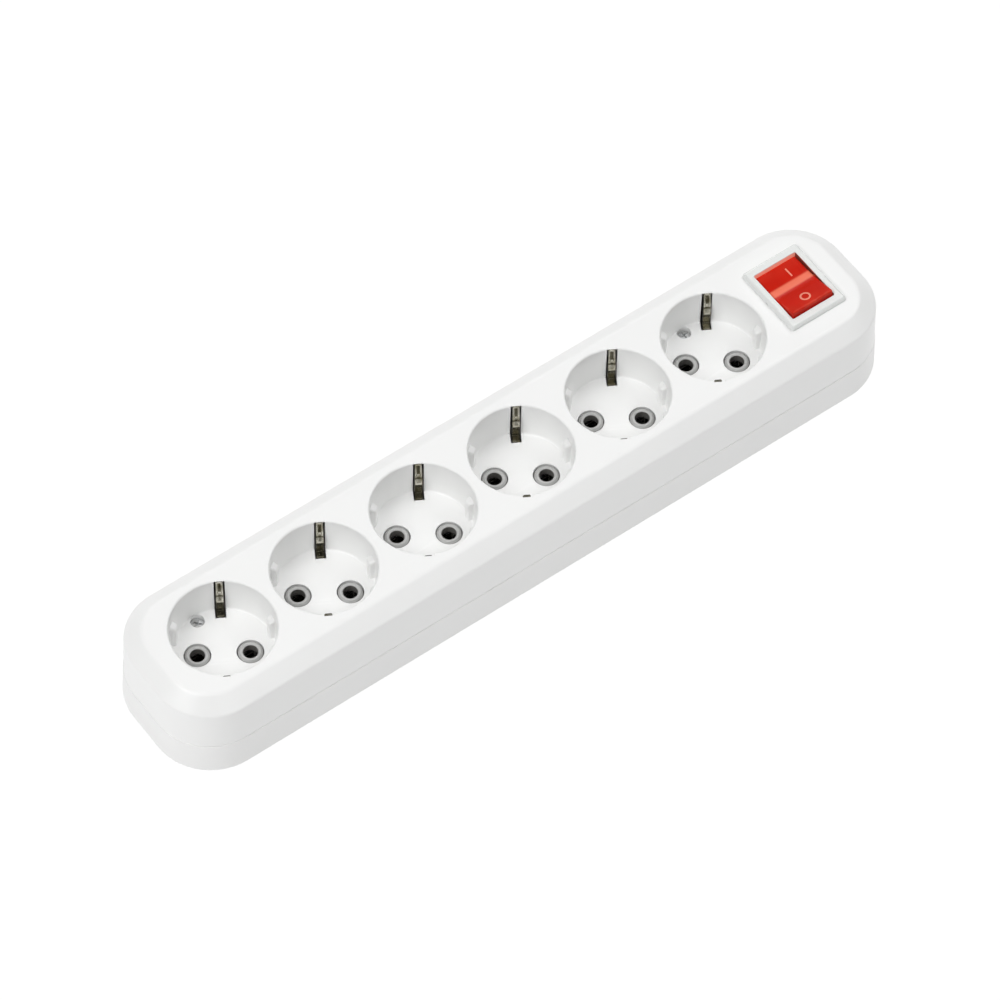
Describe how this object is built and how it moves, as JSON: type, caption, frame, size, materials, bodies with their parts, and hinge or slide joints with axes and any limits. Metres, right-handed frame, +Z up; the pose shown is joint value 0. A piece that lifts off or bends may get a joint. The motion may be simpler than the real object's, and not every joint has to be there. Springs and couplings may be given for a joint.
{
  "type": "power strip",
  "caption": "Long white block with a row of round recessed side-earthed sockets and an illuminated red rocker switch at one end.",
  "frame": {"origin": "centre of the flat underside, the face the block rests on", "axes": "+X along the block from the plain end to the switch end, +Y towards the side of the rocker that is pressed to switch on, +Z up out of the sockets"},
  "size_m": [0.32, 0.062, 0.0423],
  "materials": {
    "white_plastic": "satin moulded",
    "base_plastic": "fine texture",
    "switch_plastic": "gloss",
    "grey_plastic": "satin",
    "red_plastic": "translucent gloss",
    "black_rubber": "matt",
    "brass": "stamped strip",
    "nickel_plate": "nickel plated strip",
    "zinc_steel": "zinc plated",
    "lamp_glass": "clear glass",
    "cream_part": "matt",
    "brown_insulation": "satin",
    "blue_insulation": "satin"
  },
  "bodies": {
    "block": {"top_cover": "white_plastic", "base_tray": "base_plastic", "pin_bush_1_live": "grey_plastic", "pin_bush_1_neutral": "grey_plastic", "pin_bush_2_live": "grey_plastic", "pin_bush_2_neutral": "grey_plastic", "pin_bush_3_live": "grey_plastic", "pin_bush_3_neutral": "grey_plastic", "pin_bush_4_live": "grey_plastic", "pin_bush_4_neutral": "grey_plastic", "pin_bush_5_live": "grey_plastic", "pin_bush_5_neutral": "grey_plastic", "pin_bush_6_live": "grey_plastic", "pin_bush_6_neutral": "grey_plastic", "earth_clip_1": "nickel_plate", "earth_clip_2": "nickel_plate", "earth_clip_3": "nickel_plate", "earth_clip_4": "nickel_plate", "earth_clip_5": "nickel_plate", "earth_clip_6": "nickel_plate", "live_rail": "brass", "neutral_rail": "brass", "earth_rail": "nickel_plate", "earth_terminal": "brass", "earth_terminal_screw": "zinc_steel", "switch_housing": "switch_plastic", "supply_blade_live": "brass", "load_blade_live": "brass", "supply_blade_neutral": "brass", "load_blade_neutral": "brass", "neon_lamp": "lamp_glass", "lamp_resistor": "cream_part", "lead_switched_live": "brown_insulation", "lead_switched_neutral": "blue_insulation", "inlet_bush": "black_rubber", "cord_clamp": "grey_plastic", "clamp_screw_1": "zinc_steel", "clamp_screw_2": "zinc_steel", "cover_screw_1": "zinc_steel", "cover_screw_6": "zinc_steel"},
    "rocker": {"rocker": "red_plastic", "plunger_spring_live": "zinc_steel", "plunger_spring_neutral": "zinc_steel"},
    "plunger_live": {"plunger_live": "cream_part"},
    "plunger_neutral": {"plunger_neutral": "cream_part"},
    "lever_live": {"contact_lever_live": "brass"},
    "lever_neutral": {"contact_lever_neutral": "brass"}
  },
  "joints": [
    {"name": "rocker_hinge", "type": "hinge", "parent": "block", "child": "rocker", "pos_m": [0.1311, 0, 0.0385], "axis": [1, 0, 0], "range_deg": [0, 18]},
    {"name": "lever_live_hinge", "type": "hinge", "parent": "block", "child": "lever_live", "pos_m": [0.1263, 0, 0.0258], "axis": [1, 0, 0], "range_deg": [-18, 0]},
    {"name": "lever_neutral_hinge", "type": "hinge", "parent": "block", "child": "lever_neutral", "pos_m": [0.1359, 0, 0.0258], "axis": [1, 0, 0], "range_deg": [-18, 0]},
    {"name": "plunger_live_slide", "type": "slide", "parent": "rocker", "child": "plunger_live", "axis": [0, 0.1564, 0.9877], "range_m": [0, 0.0005], "stiffness_N_per_m": 200, "springref_m": -0.0015, "deforming": ["plunger_spring_live"]},
    {"name": "plunger_neutral_slide", "type": "slide", "parent": "rocker", "child": "plunger_neutral", "axis": [0, 0.1564, 0.9877], "range_m": [0, 0.0005], "stiffness_N_per_m": 200, "springref_m": -0.0015, "deforming": ["plunger_spring_neutral"]}
  ],
  "couplings": [
    {"joint": "lever_live_hinge", "follows": "rocker_hinge", "ratio": -1},
    {"joint": "lever_neutral_hinge", "follows": "rocker_hinge", "ratio": -1}
  ]
}
